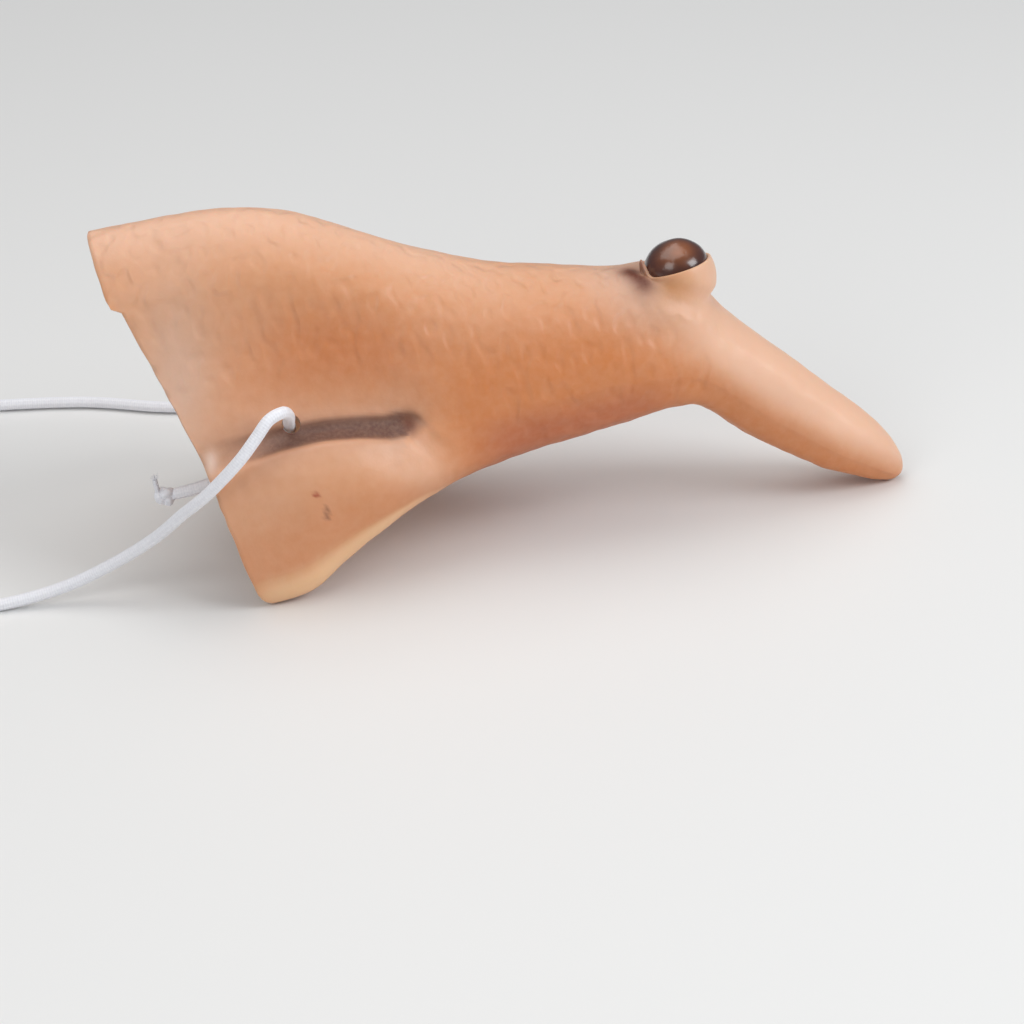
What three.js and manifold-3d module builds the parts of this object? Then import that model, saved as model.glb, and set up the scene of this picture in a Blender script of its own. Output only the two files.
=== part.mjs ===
import * as THREE from "three";
import { mergeVertices } from "three/addons/utils/BufferGeometryUtils.js";
import Module from "manifold-3d";

// A fancy-dress witch nose of moulded latex with an elastic head cord, lying as it rests on a table:
// on the underside of its tip and on its two wing corners.
// Millimetres, +Z up. The tip points along +X, the mid-plane is Y = 0, and the origin is under the middle.

const noseLength = 132; // along X, from the top of the rim to the tip
const noseHeight = 59.6; // from the table to the top of the bridge
const halfWidth = 26; // from the mid-plane to the outside of a wing
const wall = 2; // thickness of the latex
const cavityRow = 9; // the section where the hollow ends
const cavityTaper = [0.8, 0.45]; // how the hollow narrows past that section, as shares of it
const cavityReach = 0.5; // length of its rounded end against its half width
const ringSteps = 3; // points of the outer skin along each span between key points
const rowSteps = 2; // rings of the outer skin to each section
const cavitySteps = 2;
const cutMargin = 40; // how far the slab that cuts the rim reaches past the nose

const wartRadius = 6.3;
const wartDistance = 95.2; // X of the wart's centre from the top of the rim
const wartRaise = 2; // height of the wart's centre above the ridge
const wartTilt = THREE.MathUtils.degToRad(-10); // lean of the wart's axis away from the tip
const wartFacets = 28;
const lipAngle = THREE.MathUtils.degToRad(54); // from the wart's axis to the lip around the cap
const lipRoundness = 0.45; // radius of the lip's own section
const lipFacets = 8;
const seatGap = 0.3; // clearance between the cap and its seat
const capRise = 2.7; // height of the dome above its edge
const capDepth = 1.4; // how deep the cap sits in the wart
const domeSteps = 6;

const cordRadius = 1;
const cordClearance = 0.5; // between the cord and the edge of its hole
const cordSteps = 80;
const cordArcs = 4; // half the facets round the cord
const routeDivisions = 2000;
const holeRow = 1.94; // where the cord hole is, counted in sections from the rim
const holeOutwards = { x: 0.05, y: 0.72, z: 0.69 }; // direction of the far hole, square to the crease
const holeReach = 5; // length of the drilled rod, in walls
const knotRadius = 1.9;
const knotLength = 3.2;
const knotFacets = 12;

// Sections from the rim to the tip, each in the plane through a belly and a ridge point of the mid-plane.
// X is a share of noseLength, Z of noseHeight, half widths of halfWidth. The fold is the crease above the
// wing: fold is its height between belly and ridge, and foot the height of the lower wing edge, as shares.
const columns = [
  "ridgeX", "ridgeZ", "bellyX", "bellyZ", "foot", "fold",
  "footWide", "wingWide", "lobeWide", "foldWide", "cheekWide", "bridgeWide",
];
const sectionTable = [
  [0, 0.965, 0.158, 0.117, -0.133, 0.37, 0.962, 0.973, 0.908, 0.823, 0.585, 0.365],
  [0.076, 0.985, 0.223, 0.124, -0.095, 0.39, 0.958, 0.992, 0.908, 0.754, 0.546, 0.373],
  [0.152, 1, 0.284, 0.138, -0.02, 0.405, 0.885, 1, 0.885, 0.662, 0.504, 0.373],
  [0.227, 0.983, 0.337, 0.148, 0.04, 0.41, 0.823, 0.954, 0.831, 0.627, 0.492, 0.365],
  [0.303, 0.923, 0.386, 0.161, 0.085, 0.405, 0.715, 0.838, 0.731, 0.612, 0.508, 0.354],
  [0.386, 0.841, 0.443, 0.174, 0.11, 0.41, 0.527, 0.673, 0.654, 0.627, 0.546, 0.362],
  [0.477, 0.773, 0.508, 0.205, 0.1, 0.45, 0.362, 0.515, 0.585, 0.585, 0.546, 0.369],
  [0.576, 0.738, 0.58, 0.24, 0.1, 0.47, 0.312, 0.454, 0.519, 0.527, 0.496, 0.342],
  [0.659, 0.711, 0.659, 0.282, 0.1, 0.47, 0.277, 0.404, 0.462, 0.465, 0.442, 0.304],
  [0.712, 0.669, 0.703, 0.307, 0.1, 0.47, 0.25, 0.362, 0.415, 0.419, 0.392, 0.273],
  [0.765, 0.592, 0.727, 0.31, 0.1, 0.47, 0.215, 0.312, 0.358, 0.365, 0.346, 0.235],
  [0.815, 0.495, 0.746, 0.285, 0.1, 0.47, 0.185, 0.269, 0.308, 0.312, 0.296, 0.204],
  [0.861, 0.404, 0.786, 0.211, 0.1, 0.47, 0.169, 0.242, 0.277, 0.281, 0.269, 0.185],
  [0.905, 0.314, 0.837, 0.136, 0.1, 0.47, 0.154, 0.227, 0.258, 0.262, 0.25, 0.169],
  [0.946, 0.233, 0.883, 0.076, 0.1, 0.47, 0.142, 0.208, 0.238, 0.242, 0.231, 0.154],
  [0.977, 0.158, 0.929, 0.034, 0.1, 0.47, 0.115, 0.165, 0.188, 0.192, 0.185, 0.127],
  [0.994, 0.097, 0.961, 0.008, 0.1, 0.47, 0.077, 0.112, 0.127, 0.131, 0.123, 0.085],
  [1, 0.047, 0.983, 0.002, 0.1, 0.47, 0.042, 0.058, 0.067, 0.069, 0.065, 0.042],
];
const tipPole = { x: 0.998, z: 0.016 }; // shares of noseLength and noseHeight

// The rim as cut, seen from the side, from the bridge tongue down to the wing corner, in the same shares.
// Below the tongue it steps forward by a small nick.
const rimProfile = [
  { x: 0.0, z: 0.965 },
  { x: 0.022, z: 0.82 },
  { x: 0.035, z: 0.813 },
  { x: 0.126, z: 0.378 },
  { x: 0.173, z: 0.0 },
];
const wingHeight = 0.2; // heights of the wing, cheek and bridge points between belly and ridge
const cheekHeight = 0.62;
const bridgeHeight = 0.88;
const lobeBelowFold = 0.055;
const halfFoot = 0.5; // the point between the belly and the foot
const creaseKey = 5; // the fold's place among a section's key points

const sections = sectionTable.map((row) => Object.fromEntries(columns.map((name, i) => [name, row[i]])));

// The cord's route, from the knot inside the near wing out through its hole, down to the table, round behind
// the nose and back through the far hole to the other knot. In the final frame.
const cordRoute = [
  [-55.8, -15.1, 17],
  [-53, -15.3, 17.6],
  [-49.5, -15.2, 18.6],
  [-43, -13.4, 21.2],
  [-38.4, -12.1, 23.5],
  [-36.5, -14.2, 26.3],
  [-36.4, -17.2, 29],
  [-36.3, -20.2, 31.8],
  [-37.2, -23.7, 34.1],
  [-39.3, -25.7, 34],
  [-41.6, -26.9, 31.6],
  [-44.5, -27.8, 28.4],
  [-50.5, -27.2, 22.3],
  [-54.4, -25.2, 18.5],
  [-59.8, -21.6, 12.6],
  [-67.8, -19, 6.9],
  [-76, -18, 3.1],
  [-86, -18.4, 1.2],
  [-104, -20, 1.2],
  [-128, -17, 1.2],
  [-147, -3, 1.2],
  [-154, 18, 1.2],
  [-147, 40, 1.2],
  [-128, 53.5, 1.2],
  [-106, 57, 1.2],
  [-75.5, 55.2, 1.2],
  [-59, 49.8, 1.2],
  [-44, 48, 1.2],
  [-30, 49.5, 2.2],
  [-20.5, 47, 8.5],
  [-18.5, 40.5, 17.5],
  [-22.5, 33.5, 26.5],
  [-29, 27.6, 32.2],
  [-34, 23.6, 33.6],
  [-36.3, 20.2, 31.8],
  [-36.4, 17.2, 29],
  [-36.5, 14.2, 26.3],
  [-38.4, 12.1, 23.5],
  [-42.6, 13, 21.3],
  [-46.5, 14.4, 19.7],
];

const latex = new THREE.MeshStandardMaterial({ color: 0xd9a074, roughness: 0.5, metalness: 0 });
const brownGloss = new THREE.MeshStandardMaterial({ color: 0x3a1c12, roughness: 0.12, metalness: 0 });
const elastic = new THREE.MeshStandardMaterial({ color: 0xe9e9ee, roughness: 0.85, metalness: 0 });

const wasm = await Module();
wasm.setup();

// three.js geometry to a solid that can be joined and cut, and back
function toSolid(geometry) {
  const bare = geometry.clone();
  bare.deleteAttribute("normal");
  bare.deleteAttribute("uv");
  const merged = mergeVertices(bare, 1e-4);
  return new wasm.Manifold(
    new wasm.Mesh({
      numProp: 3,
      vertProperties: merged.attributes.position.array,
      triVerts: new Uint32Array(merged.index.array),
    }),
  );
}

function toGeometry(solid) {
  const mesh = solid.getMesh();
  const geometry = new THREE.BufferGeometry();
  geometry.setAttribute("position", new THREE.BufferAttribute(mesh.vertProperties, 3));
  geometry.setIndex(new THREE.BufferAttribute(mesh.triVerts, 1));
  geometry.computeVertexNormals();
  return geometry;
}

// A section's plane, with its key points as [half width, distance up from the belly point]
function sectionFrame(s) {
  const belly = new THREE.Vector3(s.bellyX * noseLength, 0, s.bellyZ * noseHeight);
  const ridge = new THREE.Vector3(s.ridgeX * noseLength, 0, s.ridgeZ * noseHeight);
  const up = ridge.clone().sub(belly);
  const depth = up.length();
  const keys = [
    [0, 0],
    [s.footWide * halfFoot, s.foot * halfFoot],
    [s.footWide, s.foot],
    [s.wingWide, wingHeight],
    [s.lobeWide, s.fold - lobeBelowFold],
    [s.foldWide, s.fold],
    [s.cheekWide, cheekHeight],
    [s.bridgeWide, bridgeHeight],
    [0, 1],
  ].map(([wide, high]) => new THREE.Vector2(wide * halfWidth, high * depth));
  return { belly, up: up.normalize(), keys };
}

// The same key points moved inwards by the wall
function inset(keys, distance) {
  return keys.map((key, i) => {
    const before = keys[i - 1] ?? new THREE.Vector2(-keys[1].x, keys[1].y);
    const after = keys[i + 1] ?? new THREE.Vector2(-keys[i - 1].x, keys[i - 1].y);
    const along = after.clone().sub(before).normalize();
    return new THREE.Vector2(key.x - along.y * distance, key.y + along.x * distance);
  });
}

// A closed ring of points through the key points of one half and their mirror images
function ringOf(frame, keys, perSpan) {
  const mirrored = keys.slice(1, -1).reverse().map((key) => new THREE.Vector2(-key.x, key.y));
  const closed = [...keys, ...mirrored].map((key) => new THREE.Vector3(key.x, key.y, 0));
  const outline = new THREE.CatmullRomCurve3(closed, true, "centripetal");
  const ring = [];
  const count = closed.length * perSpan;
  for (let i = 0; i < count; i += 1) {
    const p = outline.getPoint(i / count);
    ring.push(new THREE.Vector3(0, p.x, 0).add(frame.belly).addScaledVector(frame.up, p.y));
  }
  return ring;
}

// Rings between the table's rows, each point running smoothly from row to row
function blendRings(rings, perRow) {
  const paths = rings[0].map((_, i) => new THREE.CatmullRomCurve3(rings.map((ring) => ring[i]), false));
  const blended = [];
  const count = (rings.length - 1) * perRow;
  for (let k = 0; k <= count; k += 1) {
    blended.push(paths.map((path) => path.getPoint(k / count)));
  }
  return blended;
}

// A closed skin over the rings, with a flat fan on the first ring and a fan to the pole after the last
function skin(rings, pole) {
  const size = rings[0].length;
  const points = [...rings.flat(), middleOf(rings[0]), pole];
  const middleAt = points.length - 2;
  const poleAt = points.length - 1;
  const index = [];
  for (let i = 0; i < size; i += 1) {
    const next = (i + 1) % size;
    index.push(middleAt, next, i);
    for (let k = 0; k + 1 < rings.length; k += 1) {
      const a = k * size;
      const b = a + size;
      index.push(a + i, a + next, b + i);
      index.push(a + next, b + next, b + i);
    }
    const last = (rings.length - 1) * size;
    index.push(last + i, last + next, poleAt);
  }
  const geometry = new THREE.BufferGeometry();
  geometry.setAttribute("position", new THREE.Float32BufferAttribute(points.flatMap((p) => p.toArray()), 3));
  geometry.setIndex(index);
  return geometry;
}

const frames = sections.map(sectionFrame);

function middleOf(ring) {
  return ring.reduce((sum, p) => sum.add(p), new THREE.Vector3()).divideScalar(ring.length);
}

// The first ring carried on backwards, past where the rim is cut
function ringBehind(rings) {
  return rings[0].map((p, i) => p.clone().multiplyScalar(2).sub(rings[1][i]));
}

function outerSkin() {
  const rings = frames.map((frame) => ringOf(frame, frame.keys, ringSteps));
  const pole = new THREE.Vector3(tipPole.x * noseLength, 0, tipPole.z * noseHeight);
  const blended = blendRings(rings, rowSteps);
  return skin([ringBehind(blended), ...blended], pole);
}

// The hollow, open at the rim and rounded off inside the shaft
function cavitySkin() {
  const hollow = frames.slice(0, cavityRow + 1);
  const rings = hollow.map((frame) => ringOf(frame, inset(frame.keys, wall), cavitySteps));
  const end = rings[cavityRow];
  const middle = middleOf(end);
  const forward = new THREE.Vector3().crossVectors(frames[cavityRow].up, new THREE.Vector3(0, -1, 0));
  const reach = halfWidth * sections[cavityRow].foldWide * cavityReach;
  const shrunk = cavityTaper.map((share) => {
    const shift = forward.clone().multiplyScalar(reach * Math.sqrt(1 - share * share));
    return end.map((p) => p.clone().sub(middle).multiplyScalar(share).add(middle).add(shift));
  });
  const pole = middle.clone().addScaledVector(forward, reach);
  return skin([ringBehind(rings), ...blendRings(rings, 1), ...shrunk], pole);
}

// The point on the line through two others, as far past the second as they are apart
function carriedOn(from, to) {
  return to.clone().multiplyScalar(2).sub(from);
}

// Everything behind the rim's profile, as wide as the nose
function behindRim() {
  const line = rimProfile.map((p) => new THREE.Vector2(p.x * noseLength, p.z * noseHeight)).reverse();
  const bottom = carriedOn(line[1], line[0]);
  const top = carriedOn(line.at(-2), line.at(-1));
  const back = [new THREE.Vector2(-cutMargin, top.y), new THREE.Vector2(-cutMargin, bottom.y)];
  const outline = new THREE.Shape([bottom, ...line, top, ...back]);
  const width = (halfWidth + cutMargin) * 2;
  const slab = new THREE.ExtrudeGeometry(outline, { depth: width, bevelEnabled: false });
  slab.translate(0, 0, -width / 2);
  slab.rotateX(Math.PI / 2);
  return slab;
}

// The cap's lip is a circle on the wart's ball, and the cap fits inside it
const lipRadius = wartRadius * Math.sin(lipAngle);
const capLevel = wartRadius * Math.cos(lipAngle) - lipRoundness / 2; // above the wart's centre
const capRadius = lipRadius - lipRoundness / 2 - seatGap;

function wartPlace() {
  const before = sections.findLastIndex((s) => s.ridgeX * noseLength < wartDistance);
  const [a, b] = [sections[before], sections[before + 1]];
  const share = (wartDistance / noseLength - a.ridgeX) / (b.ridgeX - a.ridgeX);
  const ridgeZ = THREE.MathUtils.lerp(a.ridgeZ, b.ridgeZ, share) * noseHeight;
  return new THREE.Matrix4().makeRotationY(wartTilt).setPosition(wartDistance, 0, ridgeZ + wartRaise);
}

// A turned shape about the wart's own axis, from its profile as [radius, height above the wart's centre]
function turned(profile) {
  const line = profile.map(([wide, high]) => new THREE.Vector2(wide, high));
  const shape = new THREE.LatheGeometry(line, wartFacets);
  shape.rotateX(Math.PI / 2);
  return shape.applyMatrix4(wartPlace());
}

function wartBall() {
  const ball = new THREE.SphereGeometry(wartRadius, wartFacets, wartFacets / 2);
  const lip = new THREE.TorusGeometry(lipRadius, lipRoundness, lipFacets, wartFacets);
  lip.translate(0, 0, capLevel);
  return toSolid(ball.applyMatrix4(wartPlace())).add(toSolid(lip.applyMatrix4(wartPlace())));
}

function capSeat() {
  const floor = capLevel - capDepth - seatGap;
  const wide = capRadius + seatGap;
  const above = wartRadius * 2;
  return toSolid(turned([[0, floor], [wide, floor], [wide, above], [0, above]]));
}

function wartCapGeometry() {
  const profile = [[0, capLevel - capDepth], [capRadius, capLevel - capDepth]];
  for (let i = 0; i < domeSteps; i += 1) {
    const angle = (i / domeSteps) * (Math.PI / 2);
    profile.push([capRadius * Math.cos(angle), capLevel + capRise * Math.sin(angle)]);
  }
  return turned([...profile, [0, capLevel + capRise]]);
}

// The rod that cuts the cord's hole through a wing's crease; side is -1 near and 1 far
function holeCut(side) {
  const row = Math.floor(holeRow);
  const [before, after] = [frames[row], frames[row + 1]].map((frame) => {
    const crease = frame.keys[creaseKey];
    return new THREE.Vector3(0, side * crease.x, 0).add(frame.belly).addScaledVector(frame.up, crease.y);
  });
  const centre = before.lerp(after, holeRow - row);
  const radius = cordRadius + cordClearance;
  const rod = new THREE.CylinderGeometry(radius, radius, wall * holeReach, wartFacets / 2);
  const outwards = new THREE.Vector3(holeOutwards.x, side * holeOutwards.y, holeOutwards.z).normalize();
  rod.applyQuaternion(new THREE.Quaternion().setFromUnitVectors(new THREE.Vector3(0, 1, 0), outwards));
  rod.translate(centre.x, centre.y, centre.z);
  return rod;
}

function noseShellGeometry() {
  let solid = toSolid(outerSkin()).add(wartBall()).subtract(capSeat());
  solid = solid.subtract(toSolid(cavitySkin())).subtract(toSolid(behindRim()));
  for (const side of [-1, 1]) {
    solid = solid.subtract(toSolid(holeCut(side)));
  }
  return toGeometry(solid);
}

function cordGeometry() {
  const section = new THREE.Shape().absarc(0, 0, cordRadius, 0, Math.PI * 2);
  const points = cordRoute.map((p) => new THREE.Vector3(...p));
  const route = new THREE.CatmullRomCurve3(points, false, "centripetal");
  route.arcLengthDivisions = routeDivisions;
  return new THREE.ExtrudeGeometry(section, {
    steps: cordSteps,
    curveSegments: cordArcs,
    extrudePath: route,
    bevelEnabled: false,
  });
}

// A tight overhand knot as a small capsule just past the cord's end
function knotGeometry(end, beforeEnd) {
  const tip = new THREE.Vector3(...end);
  const away = tip.clone().sub(new THREE.Vector3(...beforeEnd)).normalize();
  const knot = new THREE.CapsuleGeometry(knotRadius, knotLength - knotRadius, knotFacets / 3, knotFacets);
  knot.applyQuaternion(new THREE.Quaternion().setFromUnitVectors(new THREE.Vector3(0, 1, 0), away));
  const centre = tip.addScaledVector(away, (knotLength + knotRadius) / 2 + seatGap);
  knot.translate(centre.x, centre.y, centre.z);
  return knot;
}

function piece(name, geometry, material) {
  const mesh = new THREE.Mesh(geometry, material);
  mesh.name = name;
  return mesh;
}

const nose = new THREE.Group();
nose.name = "fake_nose";
const body = new THREE.Group();
body.add(piece("nose_shell", noseShellGeometry(), latex));
body.add(piece("wart_cap", wartCapGeometry(), brownGloss));
const box = new THREE.Box3().setFromObject(body);
body.position.set(-(box.min.x + box.max.x) / 2, 0, -box.min.z);
nose.add(body);
nose.add(piece("elastic_cord", cordGeometry(), elastic));
nose.add(piece("cord_knot_near", knotGeometry(cordRoute[0], cordRoute[1]), elastic));
nose.add(piece("cord_knot_far", knotGeometry(cordRoute.at(-1), cordRoute.at(-2)), elastic));

export default nose;
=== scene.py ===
import math

import bmesh
import bpy
import numpy as np
from mathutils import Matrix, Vector, noise
from mathutils.kdtree import KDTree
from numpy.linalg import norm


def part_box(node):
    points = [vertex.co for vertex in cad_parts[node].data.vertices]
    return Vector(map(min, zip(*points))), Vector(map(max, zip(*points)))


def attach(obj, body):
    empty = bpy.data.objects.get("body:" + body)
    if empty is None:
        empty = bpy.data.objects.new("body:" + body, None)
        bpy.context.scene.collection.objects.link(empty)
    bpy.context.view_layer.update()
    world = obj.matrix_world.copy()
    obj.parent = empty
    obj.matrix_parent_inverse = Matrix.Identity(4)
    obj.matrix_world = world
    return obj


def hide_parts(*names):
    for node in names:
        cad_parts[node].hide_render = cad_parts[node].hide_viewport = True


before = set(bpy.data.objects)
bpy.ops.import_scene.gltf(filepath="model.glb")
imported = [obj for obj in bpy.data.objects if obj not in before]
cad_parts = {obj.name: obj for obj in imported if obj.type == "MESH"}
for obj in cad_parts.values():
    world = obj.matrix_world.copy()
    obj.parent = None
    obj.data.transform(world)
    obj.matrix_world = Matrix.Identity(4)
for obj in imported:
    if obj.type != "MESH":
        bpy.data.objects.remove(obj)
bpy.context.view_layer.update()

# A moulded latex witch nose with a wart and an elastic head cord, lying on a pale table.
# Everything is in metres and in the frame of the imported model.

print("frame loaded")

# camera

shot = {
    "lens": 126.93,  # mm, on a sensor 36 mm wide
    "sensor": 36.0,
    "distance": 0.612,
    "target": (-0.00073, 0.0, 0.00003),
    "turn": 2.5,  # degrees that the view is turned towards the tip
    "elevation": 28.0,
    "roll": -3.95,
}


def placeCamera():
    turn, rise, roll = (math.radians(shot[name]) for name in ("turn", "elevation", "roll"))
    data = bpy.data.cameras.new("camera")
    data.lens, data.sensor_width, data.clip_start = shot["lens"], shot["sensor"], 0.01
    camera = bpy.data.objects.new("camera", data)
    camera.matrix_world = (
        Matrix.Translation(shot["target"]) @ Matrix.Rotation(-turn, 4, "Z")
        @ Matrix.Rotation(math.pi / 2 - rise, 4, "X") @ Matrix.Rotation(roll, 4, "Z")
        @ Matrix.Translation((0.0, 0.0, shot["distance"]))
    )
    bpy.context.scene.collection.objects.link(camera)
    bpy.context.scene.camera = camera


placeCamera()
print("camera placed")

# helpers for lines, meshes and node trees


def smoothLine(knots, perSpan, closed=False):
    # centripetal curve through the knots along the first axis
    if closed:
        around = np.concatenate([knots[-1:], knots, knots[:2]])
    else:
        around = np.concatenate([2 * knots[:1] - knots[1:2], knots, 2 * knots[-1:] - knots[-2:-1]])
    p0, p1, p2, p3 = around[:-3], around[1:-2], around[2:-1], around[3:]

    def gap(a, b):
        return np.maximum(norm(a - b, axis=-1, keepdims=True), 1e-7) ** 0.5

    t0, t1, t2 = gap(p0, p1), gap(p1, p2), gap(p2, p3)
    leave = ((p1 - p0) / t0 - (p2 - p0) / (t0 + t1) + (p2 - p1) / t1) * t1
    arrive = ((p2 - p1) / t1 - (p3 - p1) / (t1 + t2) + (p3 - p2) / t2) * t1
    parts = []
    for s in np.arange(perSpan) / perSpan:
        parts.append(
            p1 * (2 * s**3 - 3 * s**2 + 1) + leave * (s**3 - 2 * s**2 + s)
            + p2 * (3 * s**2 - 2 * s**3) + arrive * (s**3 - s**2)
        )
    line = np.stack(parts, axis=1).reshape((-1,) + knots.shape[1:])
    return line if closed else np.concatenate([line, knots[-1:]])


def addObject(name, data):
    made = bpy.data.objects.new(name, data)
    bpy.context.scene.collection.objects.link(made)
    return made


def addMesh(name, points, faces):
    mesh = bpy.data.meshes.new(name)
    mesh.from_pydata([tuple(p) for p in points], [], faces)
    mesh.update()
    return addObject(name, mesh)


def addSquare(name, middle, half):
    corners = ((-1, -1, 0), (1, -1, 0), (1, 1, 0), (-1, 1, 0))
    return addMesh(name, [np.array(middle) + np.array(c) * half for c in corners], [(0, 1, 2, 3)])


def pointsOf(mesh):
    flat = np.empty(len(mesh.vertices) * 3)
    mesh.vertices.foreach_get("co", flat)
    return flat.reshape(-1, 3)


def addMask(mesh, name, values):
    layer = mesh.attributes.new(name, "FLOAT", "POINT")
    layer.data.foreach_set("value", values)


def evaluatedMesh(owner):
    graph = bpy.context.evaluated_depsgraph_get()
    shown = owner.evaluated_get(graph)
    return bpy.data.meshes.new_from_object(shown, preserve_all_data_layers=True, depsgraph=graph)


def treeOf(points):
    # for finding the nearest of many points
    tree = KDTree(len(points))
    for i, p in enumerate(points):
        tree.insert(p, i)
    tree.balance()
    return tree


def newTree(name, kind, inputs, outputs):
    # inputs as name, kind and value, outputs as name and kind
    tree = bpy.data.node_groups.new(name, kind)
    for label, socket, value in inputs:
        made = tree.interface.new_socket(label, in_out="INPUT", socket_type="NodeSocket" + socket)
        if value is not None:
            made.default_value = value
    for label, socket in outputs:
        tree.interface.new_socket(label, in_out="OUTPUT", socket_type="NodeSocket" + socket)
    given = tree.nodes.new("NodeGroupInput").outputs
    return tree, given, tree.nodes.new("NodeGroupOutput").inputs[0]


def socketOf(node, name):
    return next(s for s in node.inputs if s.name == name and s.enabled)


def feed(value, target):
    # a socket, or a node's first output, is linked, and anything else becomes the target's own value
    if isinstance(value, bpy.types.Node):
        value = value.outputs[0]
    if isinstance(value, bpy.types.NodeSocket):
        target.id_data.links.new(target, value)
    else:
        target.default_value = value


def addNode(tree, kind, settings=None, **values):
    node = tree.nodes.new(kind)
    for name, value in (settings or {}).items():
        setattr(node, name, value)
    for name, value in values.items():
        feed(value, socketOf(node, name.replace("_", " ")))
    return node


def arithmetic(operation, *values, kind="ShaderNodeMath", clamp=False):
    tree = next(value.id_data for value in values if hasattr(value, "id_data"))
    node = addNode(tree, kind, {"operation": operation})
    if clamp:
        node.use_clamp = True
    for value, target in zip(values, [s for s in node.inputs if s.enabled]):
        feed(value, target)
    return node.outputs[0]


def times(*values, **options):
    return arithmetic("MULTIPLY", *values, **options)


def timesPlus(*values, **options):
    return arithmetic("MULTIPLY_ADD", *values, **options)


def noiseOf(vector, scale, detail):
    return addNode(vector.id_data, "ShaderNodeTexNoise", Vector=vector, Scale=scale, Detail=detail)


def growTree(owner, tree, values):
    modifier = owner.modifiers.new(tree.name, "NODES")
    modifier.node_group = tree
    for item in tree.interface.items_tree:
        if item.in_out == "INPUT" and item.name in values:
            modifier[item.identifier] = values[item.name]
    return evaluatedMesh(owner)


# shared shader groups


def makeMottle():
    # a soft mix value that wanders between 0 and 1
    tree, given, result = newTree("softMottle", "ShaderNodeTree", [
        ("Vector", "Vector", None), ("Size", "Float", 0.01), ("Contrast", "Float", 1.5),
        ("Detail", "Float", 3.0),
    ], [("Value", "Float")])
    scale = arithmetic("DIVIDE", 1.0, given["Size"])
    cloud = noiseOf(given["Vector"], scale, given["Detail"])
    centred = arithmetic("SUBTRACT", cloud, 0.5)
    spread = timesPlus(centred, given["Contrast"], 0.5, clamp=True)
    feed(spread, result)
    return tree


relief = {
    "lean": 0.45,  # radians that the dents slant
    "squeeze": (1.0, 0.85, 0.62),  # makes them longer than wide
    "from": (0.38, 0.84),  # the noise values between which a dent deepens
    "foldSize": 0.6,  # against the dents, the smaller the wider
    "foldDepth": 0.55,
}


def makeSkinRelief():
    # short slanting dents, softer folds between them and fine pores, as a height
    tree, given, result = newTree("skinRelief", "ShaderNodeTree", [
        ("Vector", "Vector", None), ("Dent Size", "Float", 0.0019), ("Dents", "Float", 1.0),
        ("Pore Size", "Float", 0.0004), ("Pores", "Float", 0.2),
    ], [("Height", "Float")])

    def over(size, share):
        return arithmetic("DIVIDE", share, given[size])

    lean = addNode(tree, "ShaderNodeMapping", Vector=given["Vector"],
                   Rotation=(0.0, relief["lean"], 0.0), Scale=relief["squeeze"])
    cloud = noiseOf(lean, over("Dent Size", 1.0), 0.0)
    dents = addNode(tree, "ShaderNodeMapRange", {"interpolation_type": "SMOOTHERSTEP"}, Value=cloud,
                    From_Min=relief["from"][0], From_Max=relief["from"][1], To_Min=0.0, To_Max=-1.0)
    folds = noiseOf(given["Vector"], over("Dent Size", relief["foldSize"]), 1.0)
    pores = noiseOf(given["Vector"], over("Pore Size", 1.0), 1.0)
    both = timesPlus(folds, relief["foldDepth"], dents)
    deep = times(both, given["Dents"])
    total = timesPlus(pores, given["Pores"], deep)
    feed(total, result)
    return tree


mottle = makeMottle()
skinRelief = makeSkinRelief()


def useGroup(group, place, **values):
    made = addNode(place.id_data, "ShaderNodeGroup", {"node_tree": group}, Vector=place, **values)
    return made.outputs[0]


def startMaterial(name, **values):
    material = bpy.data.materials.new(name)
    material.use_nodes = True
    tree = material.node_tree
    shader = next(n for n in tree.nodes if n.type == "BSDF_PRINCIPLED")
    for label, value in values.items():
        shader.inputs[label.replace("_", " ")].default_value = value
    place = addNode(tree, "ShaderNodeTexCoord").outputs["Object"]
    return material, tree, shader, place


def blend(amount, below, above):
    mix = amount.id_data.nodes.new("ShaderNodeMix")
    mix.data_type = "RGBA"
    for value, socket in ((amount, 0), (below, 6), (above, 7)):
        feed(value, mix.inputs[socket])
    return mix.outputs[2]


def attribute(tree, name, output="Fac"):
    return addNode(tree, "ShaderNodeAttribute", {"attribute_name": name}).outputs[output]


def finishShader(shader, colour, roughness, height, strength, distance):
    bump = addNode(shader.id_data, "ShaderNodeBump", Strength=strength, Distance=distance, Height=height)
    for value, name in ((colour, "Base Color"), (roughness, "Roughness"), (bump, "Normal")):
        feed(value, shader.inputs[name])


# elastic cord

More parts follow.
